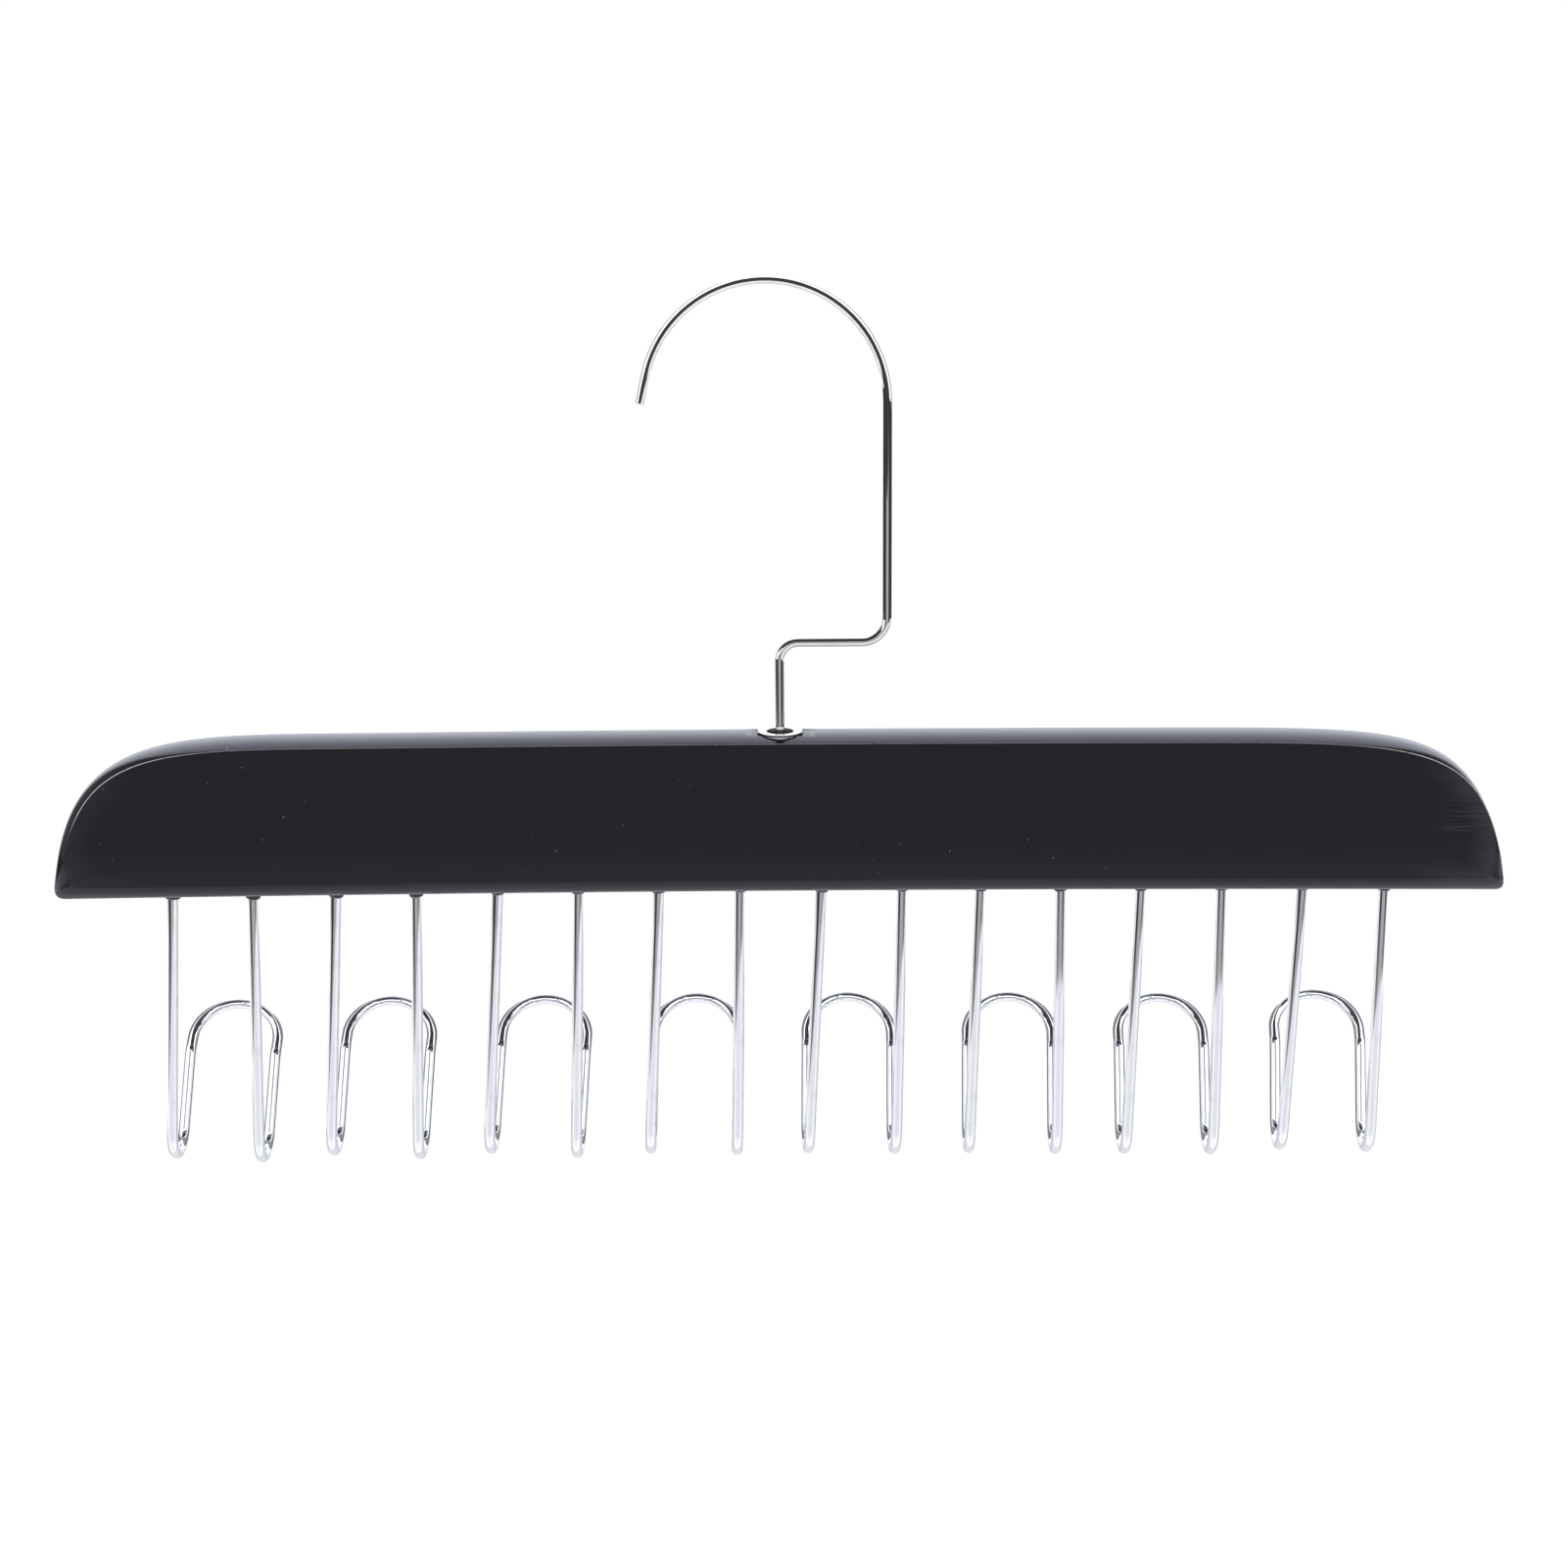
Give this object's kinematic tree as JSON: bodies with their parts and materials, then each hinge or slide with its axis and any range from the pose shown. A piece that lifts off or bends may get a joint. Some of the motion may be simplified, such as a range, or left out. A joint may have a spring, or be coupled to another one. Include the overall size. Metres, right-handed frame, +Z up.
{
  "type": "belt hanger",
  "caption": "Hanger with a black wooden bar, a chrome swivel hook on top, and a row of bent chrome wire hooks below that hold belts by their buckles.",
  "frame": {"origin": "where the hanger rests on a wardrobe rod: the inner top of the swivel hook's curve, at the middle of the wire", "axes": "+Z up; X along the bar, with +X at the side of the swivel hook's shaft; +Y the back, which the belt hooks open to, and -Y the front of the bar"},
  "size_m": [0.3511, 0.0425, 0.2203],
  "materials": {
    "chrome": "polished chrome plate on steel wire",
    "nickel": "bright nickel plate",
    "black_paint": "satin black paint on wood"
  },
  "bodies": {
    "hanger_hook": {"swivel_hook": "chrome"},
    "bar_assembly": {"bar": "black_paint", "swivel_socket": "nickel", "belt_hook_1": "chrome", "belt_hook_2": "chrome", "belt_hook_3": "chrome", "belt_hook_4": "chrome", "belt_hook_5": "chrome", "belt_hook_6": "chrome", "belt_hook_7": "chrome", "belt_hook_8": "chrome"}
  },
  "joints": [
    {"name": "bar_swivel", "type": "hinge", "parent": "hanger_hook", "child": "bar_assembly", "pos_m": [0.00295, 0, -0.106], "axis": [0, 0, 1], "continuous": true}
  ]
}
